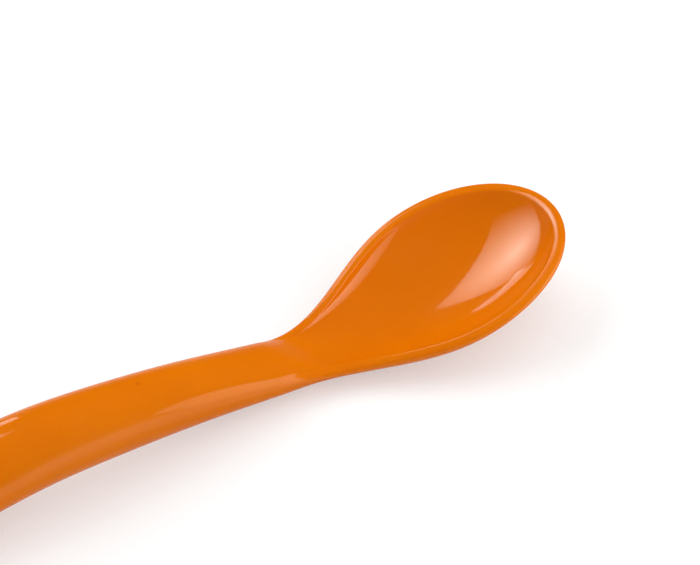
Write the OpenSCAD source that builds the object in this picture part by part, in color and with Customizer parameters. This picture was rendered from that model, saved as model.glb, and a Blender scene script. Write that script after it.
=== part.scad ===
// Baby spoon, lying on the floor plane z = 0 with its tip towards +X and its left side towards +Y.
// The origin is at the bottom centre of the box around the spoon.

/* [Bowl] */
// Width of the bowl over its lip
bowl_w = 27; // [24:0.5:31]
// Length from the widest place of the bowl to its tip
tip_l = 17.6; // [16:0.2:22]
// Length from the widest place of the bowl back to the narrowest place of the neck
taper_l = 31; // [28:0.2:36]
// Depth of the outside below the edge line, at the widest place
bowl_h = 6.8; // [6:0.1:8.5]
// Thickness of the wall at the bottom of the bowl
wall_t = 1.5; // [1.2:0.1:2]
// Thickness of the rounded lip
lip_t = 1.8; // [1.4:0.1:2.2]
// How much higher the lip's inner edge lies than its outer edge
lip_tilt = 0.45; // [0:0.05:0.8]
// Distance in front of the neck over which the hollow opens
open_l = 11; // [8:0.5:14]

/* [Side view] */
// Height of the lip at the tip above its lowest place
tip_rise = 9.1; // [7:0.1:12]
// Angle at which the lip still climbs at the tip
tip_angle = 12; // [4:1:16]
// Distance of the lip's lowest place behind the widest place of the bowl
dip_l = 22.8; // [21:0.2:26]
// Radius of the side line at the lip's lowest place
dip_r = 23; // [18:0.5:32]
// Distance from the lip's lowest place back to the highest place of the handle's arch
arch_l = 42.2; // [36:0.2:48]
// Height of the handle's arch above the lip's lowest place
arch_rise = 5.2; // [3:0.1:7]
// Radius of the side line at the highest place of the arch
arch_r = 54; // [44:1:90]

/* [Neck] */
// Width of the neck at its narrowest place
neck_w = 9.3; // [7.8:0.1:10.6]
// Height of the neck's top above the edge line
neck_top = 2.8; // [2.4:0.1:4]
// Depth of the neck's underside below the edge line
neck_under = 3.4; // [3:0.1:4.4]
// Angle at which the neck's top rises from the edge line towards the handle
top_angle = 5.5; // [2:0.5:8]
// Angle at which the neck's underside drops from the edge line towards the handle
under_angle = 7; // [2:0.5:9]

/* [Handle] */
// Length of the handle from the narrowest place of the neck to its end
handle_l = 98; // [90:1:112]
// Width of the grip at its widest place
grip_w = 13.8; // [11:0.2:16]
// Height of the grip's top above the edge line
grip_top = 4; // [3.2:0.1:5]
// Depth of the grip's underside below the edge line
grip_under = 4.8; // [4:0.1:6]
// Length of the grip, from its widest place to the end of the handle
grip_l = 18; // [15:1:24]
// Length over which the end of the handle is rounded
round_l = 10; // [8:0.5:14]

/* [Tang] */
// Distance of the seam between bowl and handle behind the narrowest place of the neck
seam_l = 2; // [1.5:0.1:4]
// Length of the tang inside the handle
tang_l = 40; // [32:1:50]
// Width of the tang
tang_w = 4.6; // [3.8:0.1:5.2]
// Thickness of the tang
tang_t = 2.6; // [2:0.1:3.2]
// Length of the tang's root inside the neck of the bowl
root_l = 4; // [3:0.1:6]
// Diameter of the holes in the tang, which the handle's plastic fills
hole_d = 2.4; // [1.8:0.1:2.8]
// Distance between the holes in the tang
hole_pitch = 11; // [8:0.5:13]
// Number of holes in the tang
holes = 3; // [2:1:3]

/* [Rest] */
// Depth of the small flats that the spoon lies on
flat_cut = 0.25; // [0.15:0.05:0.4]

/* [Hidden] */

// Powers of the handle's rounded section and end: 2 is an ellipse, and more is fuller
handle_power = 2.15;
round_power = 2.4;
// How much the outside of the bowl's wall leans in below the lip, as a share of its half width
outside_lean_share = 0.2;
// The wall of the hollow is an ellipse that stops at this angle, where the lip's roll carries on
wall_stop = 16;
lip_start = 20;
// Height of the lip's roll as a share of its radius
lip_roll_share = 0.7;

// Numbers of ribs, rings and section points
back_ribs = 22;
front_ribs = 14;
inside_points = 11;
lip_points = 8;
outside_points = 9;
handle_rings = 26;
round_rings = 8;
// Angle at which the rounded end stops in a small flat
round_stop = 87;

// Places along the spoon, counted from the widest place of the bowl
neck_x = -taper_l;
seam_x = neck_x - seam_l;
end_x = neck_x - handle_l;
grip_x = end_x + grip_l;
round_x = end_x + round_l;
dip_x = -dip_l;
arch_x = dip_x - arch_l;
lip_r = lip_t / (1 + cos(lip_start));
tip_bend = 1 / tip_l^2;

// Where two smooth curves meet they share their height, their slope and their curvature.
// A station is [place, value, slope, curvature], and rise() runs between two stations.
function rise(s, e, x) =
    let (l = e[0] - s[0], t = (x - s[0]) / l, d = e[1] - s[1])
    let (s1 = s[2] * l, s2 = s[3] * l^2 / 2, e1 = e[2] * l, e2 = e[3] * l^2 / 2)
    s[1] + s1 * t + s2 * t^2
    + (10 * d - 6 * s1 - 4 * e1 - 3 * s2 + e2) * t^3
    + (-15 * d + 8 * s1 + 7 * e1 + 3 * s2 - 2 * e2) * t^4
    + (6 * d - 3 * s1 - 3 * e1 - s2 + e2) * t^5;

// A line through a list of stations, level before the first one
function line(stations, x, i = 0) =
    x <= stations[0][0] ? stations[0][1]
    : i < len(stations) - 2 && x > stations[i + 1][0] ? line(stations, x, i + 1)
    : rise(stations[i], stations[i + 1], x);

// Plan view: half the width
width_line = [
    [grip_x, grip_w / 2, 0, 0],
    [neck_x, neck_w / 2, 0, 0],
    [0, bowl_w / 2, 0, -bowl_w / 2 * tip_bend]
];
function half_width(x) = line(width_line, x);

// Side view: depth of the underside below the edge line
under_line = [
    [grip_x, grip_under, 0, 0],
    [neck_x, neck_under, -tan(under_angle), 0],
    [0, bowl_h, 0, -bowl_h * tip_bend]
];
function under(x) = line(under_line, min(x, 0));

// Side view: height of the top above the edge line, without the hollow
top_line = [[grip_x, grip_top, 0, 0], [neck_x, neck_top, -tan(top_angle), 0], [0, 0, 0, 0]];
function top(x) = line(top_line, min(x, 0));

// Side view: depth of the hollow below the lip's inner edge
hollow_h = bowl_h - wall_t + lip_tilt;
hollow_line = [[neck_x, 0, 0, 0], [0, hollow_h, 0, -hollow_h * tip_bend]];
function hollow(x) = line(hollow_line, min(x, 0));

// Side view: the edge line, which is the lip on the bowl and the widest line of the handle
bowl_side = [[dip_x, 0, 0, 1 / dip_r], [tip_l, tip_rise, tan(tip_angle), 0]];
bowl_low = min([for (i = [0 : back_ribs]) let (x = dip_x * i / back_ribs) line(bowl_side, x) - under(x)]);
handle_side = [[round_x, bowl_low + grip_under, 0, 0], [arch_x, arch_rise, 0, -1 / arch_r]];
edge_line = concat(handle_side, bowl_side);
function edge(x) = line(edge_line, x) - bowl_low - flat_cut;

// The box around the spoon is centred on the origin in plan
centre_x = (tip_l + end_x) / 2;

// Share of the bowl's cross-section, from none at the neck to all of it where the hollow is open
function ease(t) = t <= 0 ? 0 : t >= 1 ? 1 : t^3 * (t * (6 * t - 15) + 10);
function bowl_share(x) = ease((x - neck_x) / open_l);

// A point of a rounded quarter section with half-axes a and b
function quarter(a, b, angle, power) = [a * cos(angle)^(2 / power), b * sin(angle)^(2 / power)];

// A point of the bowl's outside: a quarter ellipse whose side leans in
function outside(a, b, angle) = [a * cos(angle) * (1 - outside_lean_share * sin(angle)), -b * sin(angle)];

// A point of the hollow's wall, from the middle at 90 degrees up to the lip at the angle wall_stop
function inside(a, b, angle) =
    [a * cos(angle) / cos(wall_stop), b * (sin(wall_stop) - sin(angle)) / (1 - sin(wall_stop))];

// Half sections are lists of [distance from the axis, height], from the top round to the underside
top_points = inside_points + lip_points;
last = top_points + outside_points;
function handle_half(w, up, down) = [
    for (j = [0 : last])
        j <= top_points
            ? quarter(w, up, 90 - 90 * j / top_points, handle_power)
            : let (p = quarter(w, down, 90 * (j - top_points) / outside_points, handle_power)) [p[0], -p[1]]
];
function bowl_half(w, deep, down) = [
    for (j = [0 : last])
        j <= inside_points
            ? [0, lip_tilt] + inside(w - lip_t, deep, 90 - (90 - wall_stop) * j / inside_points)
        : j <= top_points
            ? let (t = (j - inside_points) / lip_points, a = lip_start + (180 - lip_start) * t)
                [w - lip_r - lip_r * cos(a),
                 lip_tilt * (1 - t) + lip_r * lip_roll_share * (sin(a) - sin(lip_start) * (1 - t))]
        : outside(w, down, 90 * (j - top_points) / outside_points)
];

// Ribs of the bowl run from the seam along one side, round the tip and back along the other side
side_ribs = back_ribs + front_ribs;
all_ribs = 2 * side_ribs;
function place(i) = i <= side_ribs ? i : all_ribs - i;
function rib_end(h) =
    h <= back_ribs
        ? let (x = seam_x * (1 - h / back_ribs)) [x, half_width(x)]
        : let (a = 90 * (h - back_ribs) / front_ribs) [tip_l * sin(a), bowl_w / 2 * cos(a)];

// Points of the rib at place h, on the side that y_sign gives
function rib(h, y_sign) =
    let (end = rib_end(h), foot = min(end[0], 0), share = bowl_share(end[0]))
    let (l = norm(end - [foot, 0]), way = (end - [foot, 0]) / l)
    let (plain = handle_half(l, top(foot), under(foot)))
    let (scooped = bowl_half(l, hollow(foot), under(foot)))
    [
        for (j = [0 : last])
            let (p = plain[j] * (1 - share) + scooped[j] * share)
            let (x = foot + way[0] * p[0])
            [x - centre_x, y_sign * way[1] * p[0], p[1] + edge(x)]
    ];

// The ribs share their first and last points with the rib across the axis, and past the widest
// place with each other, so these points are kept apart from the rest
ring = last - 1;
function axis_place(i) = min(place(i), back_ribs);
function point_id(i, j) =
    j == 0 ? (all_ribs + 1) * ring + axis_place(i)
    : j == last ? (all_ribs + 1) * ring + back_ribs + 1 + axis_place(i)
    : i * ring + j - 1;

module bowl_shell() {
    ribs = [for (i = [0 : all_ribs]) rib(place(i), i <= side_ribs ? 1 : -1)];
    points = concat(
        [for (r = ribs) for (j = [1 : last - 1]) r[j]],
        [for (i = [0 : back_ribs]) ribs[i][0]],
        [for (i = [0 : back_ribs]) ribs[i][last]]
    );
    skin = [
        for (i = [0 : all_ribs - 1]) for (j = [0 : last - 1])
            let (a = point_id(i, j), b = point_id(i + 1, j))
            let (c = point_id(i + 1, j + 1), d = point_id(i, j + 1))
            for (face = [[a, c, b], [a, d, c]])
                if (face[0] != face[1] && face[1] != face[2] && face[2] != face[0]) face
    ];
    seam = concat(
        [for (j = [last : -1 : 0]) point_id(0, j)],
        [for (j = [1 : last - 1]) point_id(all_ribs, j)]
    );
    polyhedron(points, concat(skin, [seam]), convexity = 6);
}

// Rings of the handle run from the seam to its rounded end
function handle_ring(x, share) =
    let (half = handle_half(half_width(x) * share, top(x) * share, under(x) * share), z = edge(x))
    concat(
        [for (j = [0 : last]) [x - centre_x, half[j][0], z + half[j][1]]],
        [for (j = [last - 1 : -1 : 1]) [x - centre_x, -half[j][0], z + half[j][1]]]
    );

module handle_shell() {
    n = 2 * last;
    rings = concat(
        [for (i = [0 : handle_rings]) handle_ring(seam_x + (round_x - seam_x) * i / handle_rings, 1)],
        [
            for (i = [1 : round_rings])
                let (p = quarter(1, 1, 90 - round_stop * i / round_rings, round_power))
                handle_ring(round_x - round_l * p[0], p[1])
        ]
    );
    count = len(rings);
    skin = [
        for (i = [0 : count - 2]) for (j = [0 : n - 1])
            let (a = i * n + j, b = i * n + (j + 1) % n)
            for (face = [[a, b + n, b], [a, a + n, b + n]]) face
    ];
    front = [for (j = [0 : n - 1]) j];
    back = [for (j = [n - 1 : -1 : 0]) (count - 1) * n + j];
    polyhedron([for (r = rings) for (p = r) p], concat(skin, [front, back]), convexity = 6);
}

// Middle of the handle's section
function middle(x) = edge(x) + (top(x) - under(x)) / 2;

// The tang is a flat bar that leans with the handle's arch and ends in a half round
tang_end = seam_x - tang_l;
tang_lean = atan2(middle(tang_end) - middle(seam_x), tang_l);
tang_nose = tang_w / 2 - tang_l;

module tang() {
    translate([seam_x - centre_x, 0, middle(seam_x)])
        rotate([0, tang_lean, 0])
        difference() {
            union() {
                translate([tang_nose, -tang_w / 2, -tang_t / 2])
                    cube([root_l - tang_nose, tang_w, tang_t]);
                translate([tang_nose, 0, 0])
                    cylinder(d = tang_w, h = tang_t, center = true, $fn = 48);
            }
            for (i = [0 : holes - 1])
                translate([tang_nose + i * hole_pitch, 0, 0])
                    cylinder(d = hole_d, h = 2 * tang_t, center = true, $fn = 32);
        }
}

// Everything under the floor plane, which leaves the small flats that the spoon lies on
module below_floor() {
    span = tip_l - end_x;
    translate([-span, -bowl_w, -bowl_h])
        cube([2 * span, 2 * bowl_w, bowl_h]);
}

// Bowl, neck and tang in one moulding
module bowl() {
    color("darkorange")
        union() {
            difference() {
                bowl_shell();
                below_floor();
            }
            tang();
        }
}

// Handle, moulded round the tang
module handle() {
    color("darkorange")
        difference() {
            handle_shell();
            below_floor();
            tang();
        }
}

bowl();
handle();
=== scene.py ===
"""A baby spoon in one glossy orange plastic, lying on a pale studio floor."""

import math

import bmesh
import bpy
from mathutils import Matrix, Vector


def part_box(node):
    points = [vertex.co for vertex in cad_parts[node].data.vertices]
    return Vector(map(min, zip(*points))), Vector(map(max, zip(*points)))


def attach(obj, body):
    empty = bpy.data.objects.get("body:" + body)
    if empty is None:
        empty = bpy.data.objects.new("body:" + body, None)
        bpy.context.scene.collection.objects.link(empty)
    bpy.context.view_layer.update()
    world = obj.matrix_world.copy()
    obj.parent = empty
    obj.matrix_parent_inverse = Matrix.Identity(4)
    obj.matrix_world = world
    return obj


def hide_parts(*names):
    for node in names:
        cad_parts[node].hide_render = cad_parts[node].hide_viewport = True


bl_info = {
    "name": "Baby spoon",
    "version": (1, 0, 0),
    "blender": (4, 5, 0),
    "location": "3D View > Sidebar > Spoon",
    "description": "Models a moulded plastic baby spoon and the studio around it",
    "category": "Add Mesh",
}

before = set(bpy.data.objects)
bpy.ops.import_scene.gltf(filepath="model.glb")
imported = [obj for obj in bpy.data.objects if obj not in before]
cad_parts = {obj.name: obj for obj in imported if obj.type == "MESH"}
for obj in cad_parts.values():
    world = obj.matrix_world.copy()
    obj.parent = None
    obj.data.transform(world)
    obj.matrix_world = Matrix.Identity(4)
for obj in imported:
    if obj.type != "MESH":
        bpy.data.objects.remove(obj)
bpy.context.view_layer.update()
BOWL_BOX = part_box("bowl")
HANDLE_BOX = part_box("handle")

MM = 0.001

# Distances within which points are joined, are met by a cut, and count as on the seam
MERGE_DISTANCE = 1e-7
CUT_DISTANCE = 1e-8
NEAR = 1e-6

SHARP_EDGE = math.radians(40)
TANG_POINTS = 48
HOLE_POINTS = 32

# The dark speck on the handle
SPECK = (5.55 * MM, 0.22 * MM, 11.49 * MM)
SPECK_RADIUS = 0.4 * MM

# Half the floor's width, what the lamps and the camera look at, and the photograph's width in pixels
FLOOR_HALF = 6
LAMP_TARGET = Vector((0.045, 0, 0.008))
CAMERA_TARGET = Vector((39.08, 0, 13.88)) * MM
PHOTO_WIDTH = 700


def length(name, description, default):
    """A length that a user may change, in metres."""
    return bpy.props.FloatProperty(
        name=name, description=description, default=default, unit="LENGTH", subtype="DISTANCE", precision=5
    )


def angle(name, description, degrees):
    """An angle that a user may change, given in degrees and held in radians."""
    return bpy.props.FloatProperty(
        name=name, description=description, default=math.radians(degrees), unit="ROTATION", subtype="ANGLE"
    )


def power(name, description, default):
    """How bright a lamp looks, where 1 is white."""
    return bpy.props.FloatProperty(name=name, description=description, default=default, min=0)


def share(name, description, default):
    """A plain number between nothing and all."""
    return bpy.props.FloatProperty(
        name=name, description=description, default=default, min=0, max=1, subtype="FACTOR"
    )


def count(name, description, default):
    """How many rings or points a form gets."""
    return bpy.props.IntProperty(name=name, description=description, default=default, min=4)


def colour(name, description, default):
    """A colour in linear light."""
    return bpy.props.FloatVectorProperty(
        name=name, description=description, default=default, size=3, min=0, max=1, subtype="COLOR"
    )


class SpoonSizes(bpy.types.PropertyGroup):
    """Sizes of the spoon."""

    bowl_width: length("Bowl width", "Width over the lip", BOWL_BOX[1].y - BOWL_BOX[0].y)
    tip_length: length("Tip length", "From the widest place of the bowl to its tip", 17.6 * MM)
    taper_length: length("Taper length", "From the widest place of the bowl back to the neck", 31 * MM)
    bowl_depth: length("Bowl depth", "Outside, below the edge line", 6.8 * MM)
    wall: length("Wall", "Thickness at the bottom of the bowl", 1.5 * MM)
    lip: length("Lip", "Thickness of the rounded lip", 1.8 * MM)
    lip_tilt: length("Lip tilt", "How much higher the lip's inner edge lies than its outer edge", 0.45 * MM)
    opening: length("Opening", "Distance in front of the neck over which the hollow opens", 11 * MM)
    tip_rise: length("Tip rise", "Height of the lip at the tip above its lowest place", 9.1 * MM)
    tip_angle: angle("Tip angle", "Angle at which the lip still climbs at the tip", 12)
    dip_length: length("Dip", "From the widest place back to the lip's lowest place", 22.8 * MM)
    dip_radius: length("Dip radius", "Radius of the side line at the lip's lowest place", 23 * MM)
    arch_length: length("Arch length", "From the lip's lowest place back to the top of the arch", 42.2 * MM)
    arch_rise: length("Arch rise", "Height of the handle's arch above the lip's lowest place", 5.2 * MM)
    arch_radius: length("Arch radius", "Radius of the side line at the top of the arch", 54 * MM)
    neck_width: length("Neck width", "Width of the neck at its narrowest place", 9.3 * MM)
    neck_top: length("Neck top", "Height of the neck above the edge line", 2.8 * MM)
    neck_under: length("Neck underside", "Depth of the neck below the edge line", 3.4 * MM)
    top_angle: angle("Neck top angle", "Angle at which the neck's top rises towards the handle", 5.5)
    under_angle: angle("Neck underside angle", "Angle at which its underside drops towards the handle", 7)
    grip_width: length("Grip width", "Width of the grip at its widest place", 13.8 * MM)
    grip_top: length("Grip top", "Height of the grip above the edge line", 4 * MM)
    grip_under: length("Grip underside", "Depth of the grip below the edge line", 4.8 * MM)
    grip_length: length("Grip length", "From the grip's widest place to the end", 18 * MM)
    round_length: length("Round length", "Length over which the end is rounded", 10 * MM)
    tang_length: length("Tang length", "Length of the tang inside the handle", 40 * MM)
    tang_width: length("Tang width", "Width of the tang", 4.6 * MM)
    tang_thickness: length("Tang thickness", "Thickness of the tang", 2.6 * MM)
    tang_root: length("Tang root", "Length of the tang's root inside the neck", 4 * MM)
    hole: length("Tang hole", "Diameter of the holes that the handle's plastic fills", 2.4 * MM)
    hole_pitch: length("Tang hole pitch", "Distance between the holes", 11 * MM)
    holes: bpy.props.IntProperty(
        name="Tang holes", description="Number of holes in the tang", default=3, min=0, max=3
    )
    flat_cut: length("Rest flat", "Depth of the small flats that the spoon lies on", 0.25 * MM)
    wall_stop: angle("Wall stop", "Angle at which the hollow's ellipse stops below the lip", 16)
    lip_start: angle("Lip start", "Angle at which the lip's roll starts", 20)
    outside_lean: share("Outside lean", "How much the bowl's outer wall leans in", 0.2)
    lip_roll: share("Lip roll", "Height of the lip's roll as a share of its radius", 0.7)
    back_ribs: count("Ribs behind", "Ribs from the seam to the widest place", 66)
    front_ribs: count("Ribs in front", "Ribs from the widest place round to the tip", 44)
    inside_points: count("Inside points", "Points of a rib inside the bowl", 34)
    lip_points: count("Lip points", "Points of a rib round the lip", 18)
    outside_points: count("Outside points", "Points of a rib outside the bowl", 28)
    handle_rings: count("Handle rings", "Rings from the seam to the rounded end", 130)
    round_rings: count("End rings", "Rings of the rounded end", 26)


class SpoonFinish(bpy.types.PropertyGroup):
    """Colours and finish of the plastic."""

    orange: colour("Orange", "Main colour of the plastic", (0.735, 0.174, 0.0010))
    deep_orange: colour("Deep orange", "The slightly deeper clouds in the plastic", (0.705, 0.158, 0.0006))
    mark: colour("Mark", "The small dark speck", (0.60, 0.125, 0.002))
    roughness: share("Roughness", "Roughness of the polished skin", 0.05)
    worn_roughness: share("Worn roughness", "Roughness where the skin is rubbed", 0.12)
    translucency: share("Translucency", "How much light goes through the skin", 0.05)
    gloss: share("Gloss", "Strength of the skin's mirrored light", 0.3)
    low_gloss: share("Low gloss", "Share of the gloss that is left at a low angle", 0.15)


class StudioLook(bpy.types.PropertyGroup):
    """Floor, lamps and camera."""

    floor_colour: colour("Floor", "Colour of the floor", (0.64, 0.64, 0.64))
    air: share("Air", "Brightness of the studio all around", 0.09)
    backdrop: share("Backdrop", "Brightness of the studio at the horizon", 0.5)
    backdrop_height: share("Backdrop height", "Sine of the height angle where the backdrop ends", 0.3)
    key_power: power("Key", "Brightness of the large softbox behind the bowl", 2.45)
    top_power: power("Top fill", "Brightness of the even light above", 1.2)
    front_power: power("Front fill", "Brightness of the even light in front", 0.6)
    side_power: power("Side fill", "Brightness of the even light at the bowl's near side", 2.4)
    shine_power: power("Shine", "Brightness of the large softbox in the bowl's mirror image", 0.15)
    gleam_power: power("Gleam", "Brightness of the round reflector in the mirror image", 2.1)
    gleam_colour: colour("Gleam colour", "Colour of the round reflector", (1, 0.86, 0.7))
    streak_power: power("Streak", "Brightness of the low reflector in the mirror image", 12)
    floor_lift: share("Floor lift", "How much lighter the camera sees the floor", 0.4)
    view_azimuth: angle("Azimuth", "Direction that the photograph was taken from", -31.26)
    view_elevation: angle("Elevation", "Height angle that the photograph was taken from", 44.39)
    view_distance: length("Distance", "From the camera to the point that it looks at", 0.4)
    focal_pixels: bpy.props.FloatProperty(
        name="Focal length",
        description="Focal length in pixels of the 700 pixel wide photograph",
        default=2869.1,
    )


# The spoon's lines


def rise(start, end, x):
    """Height at x of the curve between two stations [place, value, slope, curvature]."""
    span = end[0] - start[0]
    t = (x - start[0]) / span
    step = end[1] - start[1]
    s1, s2 = start[2] * span, start[3] * span**2 / 2
    e1, e2 = end[2] * span, end[3] * span**2 / 2
    return (
        start[1]
        + s1 * t
        + s2 * t**2
        + (10 * step - 6 * s1 - 4 * e1 - 3 * s2 + e2) * t**3
        + (-15 * step + 8 * s1 + 7 * e1 + 3 * s2 - 2 * e2) * t**4
        + (6 * step - 3 * s1 - 3 * e1 - s2 + e2) * t**5
    )


def line(stations, x):
    """A line through several stations, level before the first one."""
    if x <= stations[0][0]:
        return stations[0][1]
    for start, end in zip(stations, stations[1:]):
        if x <= end[0]:
            break
    return rise(start, end, x)


def ease(t):
    """Smooth step from 0 to 1."""
    t = min(max(t, 0), 1)
    return t**3 * (t * (6 * t - 15) + 10)


def quarter(a, b, turn, fullness):
    """A point of a rounded quarter section with half-axes a and b. A fullness of 2 makes it an ellipse."""
    return a * max(math.cos(turn), 0) ** (2 / fullness), b * max(math.sin(turn), 0) ** (2 / fullness)


def outer_wall(a, b, turn, lean):
    """A point of the bowl's outside, a quarter ellipse whose side leans in."""
    return a * max(math.cos(turn), 0) * (1 - lean * math.sin(turn)), -b * math.sin(turn)


def inner_wall(a, b, turn, stop):
    """A point of the hollow's wall, an ellipse that stops where the lip's roll carries on."""
    across = a * max(math.cos(turn), 0) / math.cos(stop)
    return across, b * (math.sin(stop) - math.sin(turn)) / (1 - math.sin(stop))


class SpoonLines:
    """The lines that all sections hang on. Places are counted from the widest place of the bowl."""

    HANDLE_FULLNESS = 2.15
    ROUND_FULLNESS = 2.4
    # Steps in which the bowl's lowest place is looked for
    LOW_STEPS = 22

    def __init__(self, s):
        self.s = s
        bend = 1 / s.tip_length**2
        self.centre = s.tip_length - BOWL_BOX[1].x
        self.seam = HANDLE_BOX[1].x + self.centre
        self.end = HANDLE_BOX[0].x + self.centre
        self.neck = -s.taper_length
        self.round = self.end + s.round_length
        grip = self.end + s.grip_length
        dip = -s.dip_length
        deep = s.bowl_depth - s.wall + s.lip_tilt
        self.widths = [
            [grip, s.grip_width / 2, 0, 0],
            [self.neck, s.neck_width / 2, 0, 0],
            [0, s.bowl_width / 2, 0, -s.bowl_width / 2 * bend],
        ]
        self.unders = [
            [grip, s.grip_under, 0, 0],
            [self.neck, s.neck_under, -math.tan(s.under_angle), 0],
            [0, s.bowl_depth, 0, -s.bowl_depth * bend],
        ]
        self.tops = [
            [grip, s.grip_top, 0, 0],
            [self.neck, s.neck_top, -math.tan(s.top_angle), 0],
            [0, 0, 0, 0],
        ]
        self.hollows = [[self.neck, 0, 0, 0], [0, deep, 0, -deep * bend]]
        bowl_side = [[dip, 0, 0, 1 / s.dip_radius], [s.tip_length, s.tip_rise, math.tan(s.tip_angle), 0]]
        places = [dip * i / self.LOW_STEPS for i in range(self.LOW_STEPS + 1)]
        self.low = min(line(bowl_side, x) - self.under(x) for x in places)
        handle_side = [
            [self.round, self.low + s.grip_under, 0, 0],
            [dip - s.arch_length, s.arch_rise, 0, -1 / s.arch_radius],
        ]
        self.edges = handle_side + bowl_side

    def half_width(self, x):
        return line(self.widths, x)

    def under(self, x):
        return line(self.unders, min(x, 0))

    def top(self, x):
        return line(self.tops, min(x, 0))

    def hollow(self, x):
        return line(self.hollows, min(x, 0))

    def edge(self, x):
        return line(self.edges, x) - self.low - self.s.flat_cut

    def middle(self, x):
        return self.edge(x) + (self.top(x) - self.under(x)) / 2

    def points(self):
        """Numbers of points over the top and in all of a half section."""
        top = self.s.inside_points + self.s.lip_points
        return top, top + self.s.outside_points

    def plain_half(self, width, up, down):
        """Half section of the handle, from its top round to its underside."""
        top, last = self.points()
        half = []
        for j in range(top + 1):
            half.append(quarter(width, up, math.pi / 2 * (1 - j / top), self.HANDLE_FULLNESS))
        for j in range(1, last - top + 1):
            across, down_by = quarter(width, down, math.pi / 2 * j / (last - top), self.HANDLE_FULLNESS)
            half.append((across, -down_by))
        return half

    def scooped_half(self, width, deep, down):
        """Half section of the bowl: hollow, rounded lip and outer wall."""
        s = self.s
        top, last = self.points()
        r = s.lip / (1 + math.cos(s.lip_start))
        half = []
        for j in range(s.inside_points + 1):
            turn = math.pi / 2 - (math.pi / 2 - s.wall_stop) * j / s.inside_points
            across, up = inner_wall(width - s.lip, deep, turn, s.wall_stop)
            half.append((across, s.lip_tilt + up))
        for j in range(1, s.lip_points + 1):
            t = j / s.lip_points
            turn = s.lip_start + (math.pi - s.lip_start) * t
            roll = math.sin(turn) - math.sin(s.lip_start) * (1 - t)
            half.append((width - r - r * math.cos(turn), s.lip_tilt * (1 - t) + r * s.lip_roll * roll))
        for j in range(1, last - top + 1):
            half.append(outer_wall(width, down, math.pi / 2 * j / (last - top), s.outside_lean))
        return half

    def rib(self, i):
        """Rib i of the bowl, from the seam round to the tip, on its left side."""
        s = self.s
        if i <= s.back_ribs:
            x = self.seam * (1 - i / s.back_ribs)
            end = Vector((x, self.half_width(x)))
        else:
            turn = math.pi / 2 * (i - s.back_ribs) / s.front_ribs
            end = Vector((s.tip_length * math.sin(turn), s.bowl_width / 2 * math.cos(turn)))
        foot = Vector((min(end.x, 0), 0))
        reach = (end - foot).length
        way = (end - foot) / reach
        scoop = ease((end.x - self.neck) / s.opening)
        plain = self.plain_half(reach, self.top(foot.x), self.under(foot.x))
        scooped = self.scooped_half(reach, self.hollow(foot.x), self.under(foot.x))
        rib = []
        for (a, h), (b, g) in zip(plain, scooped):
            across, up = a + (b - a) * scoop, h + (g - h) * scoop
            x = foot.x + way.x * across
            rib.append(Vector((x - self.centre, way.y * across, up + self.edge(x))))
        return rib

    def ring(self, i):
        """Half ring i of the handle, from the seam to its rounded end."""
        s = self.s
        if i <= s.handle_rings:
            x, size = self.seam + (self.round - self.seam) * i / s.handle_rings, 1
        else:
            turn = math.pi / 2 * (1 - (i - s.handle_rings) / s.round_rings)
            back, size = quarter(1, 1, turn, self.ROUND_FULLNESS)
            x = self.round - s.round_length * back
        half = self.plain_half(self.half_width(x) * size, self.top(x) * size, self.under(x) * size)
        return [Vector((x - self.centre, across, self.edge(x) + up)) for across, up in half]


# Modelling


def wrap(bm, rows):
    """Lays a flat grid over the form that the rows of points describe."""
    along, around = len(rows) - 1, len(rows[0]) - 1
    grid = bmesh.ops.create_grid(bm, x_segments=along, y_segments=around, size=0.5)["verts"]
    for v in grid:
        v.co = rows[round((v.co.x + 0.5) * along)][round((v.co.y + 0.5) * around)]


def close_halves(bm):
    """Adds the right half, and joins what meets along the middle."""
    everything = bm.verts[:] + bm.edges[:] + bm.faces[:]
    bmesh.ops.mirror(bm, geom=everything, matrix=Matrix.Identity(4), merge_dist=0, axis="Y")
    bmesh.ops.remove_doubles(bm, verts=bm.verts, dist=MERGE_DISTANCE)
    bmesh.ops.dissolve_degenerate(bm, edges=bm.edges, dist=CUT_DISTANCE)


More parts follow.
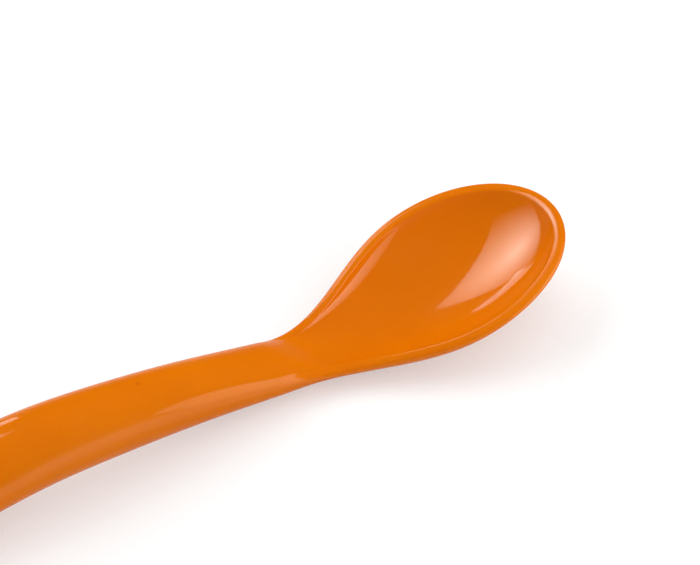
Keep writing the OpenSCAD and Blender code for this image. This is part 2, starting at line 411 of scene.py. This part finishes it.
def add_tang(bm, lines):
    """Adds the part of the tang behind the seam, open where it meets the seam."""
    s = lines.s
    reach = s.tang_width / 2 - s.tang_length
    # The outline is a circle whose front half is drawn out to the root, at full width
    outline = bmesh.ops.create_circle(bm, segments=TANG_POINTS, radius=s.tang_width / 2)["verts"]
    for v in outline:
        if v.co.x > NEAR:
            v.co.x = s.tang_root - reach
            v.co.y /= math.cos(2 * math.pi / TANG_POINTS)
    loops = list(outline)
    for i in range(s.holes):
        place = Matrix.Translation((i * s.hole_pitch, 0, 0))
        hole = bmesh.ops.create_circle(bm, segments=HOLE_POINTS, radius=s.hole / 2, matrix=place)
        loops += hole["verts"]
    edges = list(dict.fromkeys(e for v in loops for e in v.link_edges))
    plate = bmesh.ops.triangle_fill(bm, use_beauty=True, use_dissolve=False, edges=edges, normal=(0, 0, 1))
    faces = [f for f in plate["geom"] if isinstance(f, bmesh.types.BMFace)]
    risen = bmesh.ops.extrude_face_region(bm, geom=faces, use_keep_orig=True)["geom"]
    upper = [v for v in risen if isinstance(v, bmesh.types.BMVert)]
    bmesh.ops.translate(bm, verts=upper, vec=(0, 0, s.tang_thickness))
    bar = loops + upper
    # It follows the middle of the handle, and what lies in front of the seam is cut off
    drop = lines.middle(lines.seam - s.tang_length) - lines.middle(lines.seam)
    place = Matrix.Translation((lines.seam - lines.centre, 0, lines.middle(lines.seam)))
    turn = Matrix.Rotation(math.atan2(drop, s.tang_length), 4, "Y")
    lift = Matrix.Translation((reach, 0, -s.tang_thickness / 2))
    bmesh.ops.transform(bm, matrix=place @ turn @ lift, verts=bar)
    geom = list(dict.fromkeys(g for v in bar for g in [v, *v.link_edges, *v.link_faces]))
    seam = (lines.seam - lines.centre, 0, 0)
    bmesh.ops.bisect_plane(
        bm, geom=geom, dist=CUT_DISTANCE, plane_co=seam, plane_no=(1, 0, 0), clear_outer=True
    )


def close_seam(bm, lines):
    """Fills the seam's face between the outer skin and the tang."""
    seam_x = lines.seam - lines.centre
    ends = [e for e in bm.edges if e.is_boundary and all(abs(v.co.x - seam_x) < NEAR for v in e.verts)]
    bmesh.ops.triangle_fill(bm, use_beauty=True, use_dissolve=False, edges=ends)


def cut_rest(bm):
    """Cuts the small flat that the piece lies on."""
    everything = bm.verts[:] + bm.edges[:] + bm.faces[:]
    cut = bmesh.ops.bisect_plane(
        bm, geom=everything, dist=CUT_DISTANCE, plane_co=(0, 0, 0), plane_no=(0, 0, 1), clear_inner=True
    )
    rim = [e for e in cut["geom_cut"] if isinstance(e, bmesh.types.BMEdge)]
    bmesh.ops.contextual_create(bm, geom=rim)
    for e in rim:
        e.smooth = False


def corner_number(part, base):
    """A number made of the indices of the first corners of an edge or face."""
    number = 0
    for index in sorted(v.index for v in part.verts)[:3]:
        number = number * base + index
    return number


def settle_order(bm):
    """Puts edges and faces in the order of their corners, so that each run gives the same mesh."""
    bm.verts.index_update()
    for parts in (bm.edges, bm.faces):
        parts.sort(key=lambda part: corner_number(part, len(bm.verts)))


def finish_piece(bm, name, node, material):
    """Makes the bmesh an object that stands for its CAD node."""
    bmesh.ops.recalc_face_normals(bm, faces=bm.faces)
    for f in bm.faces:
        f.smooth = True
    for e in bm.edges:
        if e.is_manifold and e.calc_face_angle(0) > SHARP_EDGE:
            e.smooth = False
    settle_order(bm)
    mesh = bpy.data.meshes.new(name)
    bm.to_mesh(mesh)
    bm.free()
    mesh.materials.append(material)
    piece = bpy.data.objects.new(name, mesh)
    bpy.context.scene.collection.objects.link(piece)
    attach(piece, "root")
    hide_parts(node)


# Finish


def ramp(tree, factor, source, target):
    """Maps a value from the range source to the range target."""
    node = tree.nodes.new("ShaderNodeMapRange")
    node.clamp = True
    tree.links.new(factor, node.inputs[0])
    for socket, value in zip(node.inputs[1:5], (*source, *target)):
        socket.default_value = value
    return node.outputs[0]


def noise(tree, place, scale, detail, roughness=0.5):
    """A noise texture on the spoon's own coordinates."""
    node = tree.nodes.new("ShaderNodeTexNoise")
    tree.links.new(place, node.inputs["Vector"])
    node.inputs["Scale"].default_value = scale
    node.inputs["Detail"].default_value = detail
    node.inputs["Roughness"].default_value = roughness
    return node.outputs["Fac"]


def mix_colours(tree, factor, first, second):
    """Mixes two colours, each a colour or a socket."""
    node = tree.nodes.new("ShaderNodeMix")
    node.data_type = "RGBA"
    tree.links.new(factor, node.inputs["Factor"])
    for socket, value in ((node.inputs[6], first), (node.inputs[7], second)):
        if isinstance(value, bpy.types.NodeSocket):
            tree.links.new(value, socket)
        else:
            socket.default_value = (*value, 1)
    return node.outputs[2]


def spot(tree, place, at, radius):
    """A small soft spot on the surface, 1 in its middle and 0 outside radius."""
    node = tree.nodes.new("ShaderNodeMapping")
    node.vector_type = "TEXTURE"
    node.inputs["Location"].default_value = at
    node.inputs["Scale"].default_value = (radius, radius, radius)
    tree.links.new(place, node.inputs["Vector"])
    far = tree.nodes.new("ShaderNodeVectorMath")
    far.operation = "LENGTH"
    tree.links.new(node.outputs[0], far.inputs[0])
    return ramp(tree, far.outputs["Value"], (0.4, 1), (1, 0))


def glossy_orange_plastic():
    """The polished, slightly translucent orange plastic of both pieces."""
    found = bpy.data.materials.get("glossy_orange_plastic")
    if found:
        return found
    look = bpy.context.scene.spoon_finish
    material = bpy.data.materials.new("glossy_orange_plastic")
    material.use_nodes = True
    tree = material.node_tree
    shader = tree.nodes["Principled BSDF"]
    place = tree.nodes.new("ShaderNodeTexCoord").outputs["Object"]

    clouds = ramp(tree, noise(tree, place, scale=90, detail=3), (0.35, 0.7), (0, 1))
    base = mix_colours(tree, clouds, look.orange, look.deep_orange)
    base = mix_colours(tree, spot(tree, place, SPECK, SPECK_RADIUS), base, look.mark)
    tree.links.new(base, shader.inputs["Base Color"])

    wear = noise(tree, place, scale=160, detail=5, roughness=0.6)
    rubbed = ramp(tree, wear, (0.45, 0.75), (look.roughness, look.worn_roughness))
    tree.links.new(rubbed, shader.inputs["Roughness"])

    shader.inputs["IOR"].default_value = 1.5
    shader.inputs["Subsurface Weight"].default_value = look.translucency
    shader.inputs["Subsurface Radius"].default_value = (3.0, 1.0, 0.2)
    shader.inputs["Subsurface Scale"].default_value = 0.4 * MM

    # The skin mirrors a little less where it is seen at a low angle
    slant = tree.nodes.new("ShaderNodeLayerWeight")
    slant.inputs["Blend"].default_value = 0.5
    gloss = ramp(tree, slant.outputs["Facing"], (0.24, 0.42), (look.gloss, look.gloss * look.low_gloss))
    tree.links.new(gloss, shader.inputs["Specular IOR Level"])
    shader.inputs["Specular IOR Level"].default_value = look.gloss
    shader.inputs["Specular Tint"].default_value = (1, 0.97, 0.85, 1)

    wave = tree.nodes.new("ShaderNodeBump")
    wave.inputs["Strength"].default_value = 0.03
    wave.inputs["Distance"].default_value = 0.1 * MM
    tree.links.new(noise(tree, place, scale=350, detail=2), wave.inputs["Height"])
    tree.links.new(wave.outputs[0], shader.inputs["Normal"])
    return material


# Stage


def make_floor(look):
    """A wide pale floor that keeps the spoon's shadow."""
    bm = bmesh.new()
    bmesh.ops.create_grid(bm, x_segments=2, y_segments=2, size=FLOOR_HALF)
    mesh = bpy.data.meshes.new("floor")
    bm.to_mesh(mesh)
    bm.free()
    material = bpy.data.materials.new("pale_floor")
    material.use_nodes = True
    tree = material.node_tree
    shader = tree.nodes["Principled BSDF"]
    shader.inputs["Base Color"].default_value = (*look.floor_colour, 1)
    shader.inputs["Roughness"].default_value = 0.9
    shader.inputs["Specular IOR Level"].default_value = 0
    # The camera and mirrored rays see the floor a little lighter, up to white
    rays = tree.nodes.new("ShaderNodeLightPath")
    seen = rays.outputs["Is Camera Ray"]
    for name in ("Is Glossy Ray", "Is Transmission Ray"):
        both = tree.nodes.new("ShaderNodeMath")
        both.operation = "MAXIMUM"
        tree.links.new(seen, both.inputs[0])
        tree.links.new(rays.outputs[name], both.inputs[1])
        seen = both.outputs[0]
    tree.links.new(ramp(tree, seen, (0, 1), (0, look.floor_lift)), shader.inputs["Emission Strength"])
    shader.inputs["Emission Color"].default_value = (1, 1, 1, 1)
    mesh.materials.append(material)
    floor = bpy.data.objects.new("floor", mesh)
    bpy.context.scene.collection.objects.link(floor)


def aim(place, target):
    """The turn of a lamp or camera at place that looks at target."""
    return (target - place).to_track_quat("-Z", "Y")


def towards(azimuth, elevation):
    """A direction given by its compass angle from +X and its height, in degrees."""
    a, e = math.radians(azimuth), math.radians(elevation)
    return Vector((math.cos(a) * math.cos(e), math.sin(a) * math.cos(e), math.sin(e)))


def softbox(name, shape, brightness, place, size, lights=True, mirrored=True):
    """An area lamp that faces the bowl, and lights the spoon, is mirrored in it, or both. Its place is an
    azimuth, an elevation and a distance, and its size a width and a height."""
    data = bpy.data.lights.new(name, "AREA")
    data.shape = shape
    data.size, data.size_y = size
    area = data.size * data.size_y * (math.pi / 4 if shape == "ELLIPSE" else 1)
    data.energy = brightness * area * math.pi
    lamp = bpy.data.objects.new(name, data)
    azimuth, elevation, distance = place
    lamp.location = LAMP_TARGET + towards(azimuth, elevation) * distance
    lamp.rotation_mode = "QUATERNION"
    lamp.rotation_quaternion = aim(lamp.location, LAMP_TARGET)
    lamp.visible_camera = False
    lamp.visible_diffuse = lights
    lamp.visible_glossy = mirrored
    bpy.context.scene.collection.objects.link(lamp)
    return lamp


def add_glow(lamp, bulb, reach, extra):
    """Makes a softbox brighter round the bulb behind its cloth, by up to extra times. The bulb's place and
    the glow's reach are shares of the lamp's width and height."""
    data = lamp.data
    data.use_nodes = True
    tree = data.node_tree
    place = tree.nodes.new("ShaderNodeMapping")
    place.vector_type = "TEXTURE"
    place.inputs["Location"].default_value = (*bulb, 0)
    place.inputs["Scale"].default_value = (reach, reach * data.size / data.size_y, 1)
    tree.links.new(tree.nodes.new("ShaderNodeNewGeometry").outputs["Parametric"], place.inputs["Vector"])
    glow = tree.nodes.new("ShaderNodeTexGradient")
    glow.gradient_type = "QUADRATIC_SPHERE"
    tree.links.new(place.outputs[0], glow.inputs["Vector"])
    strength = ramp(tree, glow.outputs["Fac"], (0, 1), (1, 1 + extra))
    tree.links.new(strength, tree.nodes["Emission"].inputs["Strength"])


def light_spoon(look):
    """The even lamps that light the spoon and aren't mirrored in it."""
    softbox("key_softbox", "RECTANGLE", look.key_power, (122, 40, 0.8), (1.1, 0.72), mirrored=False)
    softbox("top_fill", "ELLIPSE", look.top_power, (-25, 62, 0.4), (0.66, 0.66), mirrored=False)
    softbox("front_fill", "ELLIPSE", look.front_power, (-105, 15, 0.8), (1.4, 0.34), mirrored=False)
    softbox("side_fill", "ELLIPSE", look.side_power, (-60, 19, 0.42), (0.63, 0.26), mirrored=False)


def mirror_lamps(look):
    """The lamps that are only mirrored in the spoon."""
    shine = softbox("key_shine", "RECTANGLE", look.shine_power, (134, 38, 1.1), (1.485, 0.98), lights=False)
    add_glow(shine, bulb=(0.34, 0.5), reach=0.76, extra=100)
    gleam = softbox("side_gleam", "ELLIPSE", look.gleam_power, (-38, 6, 0.2), (0.26, 0.24), lights=False)
    add_glow(gleam, bulb=(0.54, 0.65), reach=0.5, extra=2.2)
    gleam.data.color = look.gleam_colour
    softbox("back_streak", "RECTANGLE", look.streak_power, (91, 15, 0.6), (0.17, 0.16), lights=False)


def make_world(look):
    """A neutral studio all around, with a pale backdrop that fades upwards from the horizon."""
    world = bpy.data.worlds.new("studio_air")
    world.use_nodes = True
    tree = world.node_tree
    background = tree.nodes["Background"]
    background.inputs["Color"].default_value = (1, 1, 1, 1)
    height = tree.nodes.new("ShaderNodeSeparateXYZ")
    tree.links.new(tree.nodes.new("ShaderNodeTexCoord").outputs["Generated"], height.inputs[0])
    fade = ramp(tree, height.outputs["Z"], (0, look.backdrop_height), (look.backdrop, look.air))
    tree.links.new(fade, background.inputs["Strength"])
    bpy.context.scene.world = world


def make_camera(look):
    """The photograph's viewpoint, for a frame of 700 by 565 pixels."""
    data = bpy.data.cameras.new("camera")
    data.sensor_fit = "HORIZONTAL"
    data.sensor_width = 36
    data.lens = look.focal_pixels / PHOTO_WIDTH * data.sensor_width
    data.clip_start = 0.01
    camera = bpy.data.objects.new("camera", data)
    a, e = look.view_azimuth, look.view_elevation
    back = Vector((math.sin(a) * math.cos(e), -math.cos(a) * math.cos(e), math.sin(e)))
    camera.location = CAMERA_TARGET + back * look.view_distance
    camera.rotation_mode = "QUATERNION"
    camera.rotation_quaternion = aim(camera.location, CAMERA_TARGET)
    bpy.context.scene.collection.objects.link(camera)
    bpy.context.scene.camera = camera


# Operators


class SPOON_OT_bowl(bpy.types.Operator):
    """Model the bowl with its rounded lip, neck and tang"""

    bl_idname = "spoon.bowl"
    bl_label = "Bowl"

    def execute(self, context):
        lines = SpoonLines(context.scene.spoon_sizes)
        bm = bmesh.new()
        wrap(bm, [lines.rib(i) for i in range(lines.s.back_ribs + lines.s.front_ribs + 1)])
        close_halves(bm)
        add_tang(bm, lines)
        close_seam(bm, lines)
        cut_rest(bm)
        finish_piece(bm, "spoon_bowl", "bowl", glossy_orange_plastic())
        return {"FINISHED"}


class SPOON_OT_handle(bpy.types.Operator):
    """Model the arched handle, moulded round the tang"""

    bl_idname = "spoon.handle"
    bl_label = "Handle"

    def execute(self, context):
        lines = SpoonLines(context.scene.spoon_sizes)
        bm = bmesh.new()
        wrap(bm, [lines.ring(i) for i in range(lines.s.handle_rings + lines.s.round_rings + 1)])
        close_halves(bm)
        add_tang(bm, lines)
        close_seam(bm, lines)
        cut_rest(bm)
        finish_piece(bm, "spoon_handle", "handle", glossy_orange_plastic())
        return {"FINISHED"}


class SPOON_OT_stage(bpy.types.Operator):
    """Set up the pale floor, the soft lamps and the camera"""

    bl_idname = "spoon.stage"
    bl_label = "Stage"

    def execute(self, context):
        look = context.scene.studio_look
        make_floor(look)
        light_spoon(look)
        mirror_lamps(look)
        make_world(look)
        make_camera(look)
        context.scene.view_settings.view_transform = "Standard"
        return {"FINISHED"}


class SPOON_PT_sidebar(bpy.types.Panel):
    """Lists the spoon's sizes and its steps"""

    bl_label = "Baby spoon"
    bl_space_type = "VIEW_3D"
    bl_region_type = "UI"
    bl_category = "Spoon"

    def draw(self, context):
        for step in STEPS:
            self.layout.operator(step.bl_idname)
        for group in (context.scene.spoon_sizes, context.scene.spoon_finish, context.scene.studio_look):
            box = self.layout.box()
            for name in group.bl_rna.properties.keys():
                if name not in ("rna_type", "name"):
                    box.prop(group, name)


GROUPS = {"spoon_sizes": SpoonSizes, "spoon_finish": SpoonFinish, "studio_look": StudioLook}
STEPS = (SPOON_OT_bowl, SPOON_OT_handle, SPOON_OT_stage)


def register():
    for name, group in GROUPS.items():
        bpy.utils.register_class(group)
        setattr(bpy.types.Scene, name, bpy.props.PointerProperty(type=group))
    for cls in (*STEPS, SPOON_PT_sidebar):
        bpy.utils.register_class(cls)


def unregister():
    for cls in (SPOON_PT_sidebar, *reversed(STEPS)):
        bpy.utils.unregister_class(cls)
    for name, group in GROUPS.items():
        delattr(bpy.types.Scene, name)
        bpy.utils.unregister_class(group)


def main():
    register()
    bpy.ops.spoon.bowl()
    bpy.ops.spoon.handle()
    bpy.ops.spoon.stage()


if __name__ == "__main__":
    main()
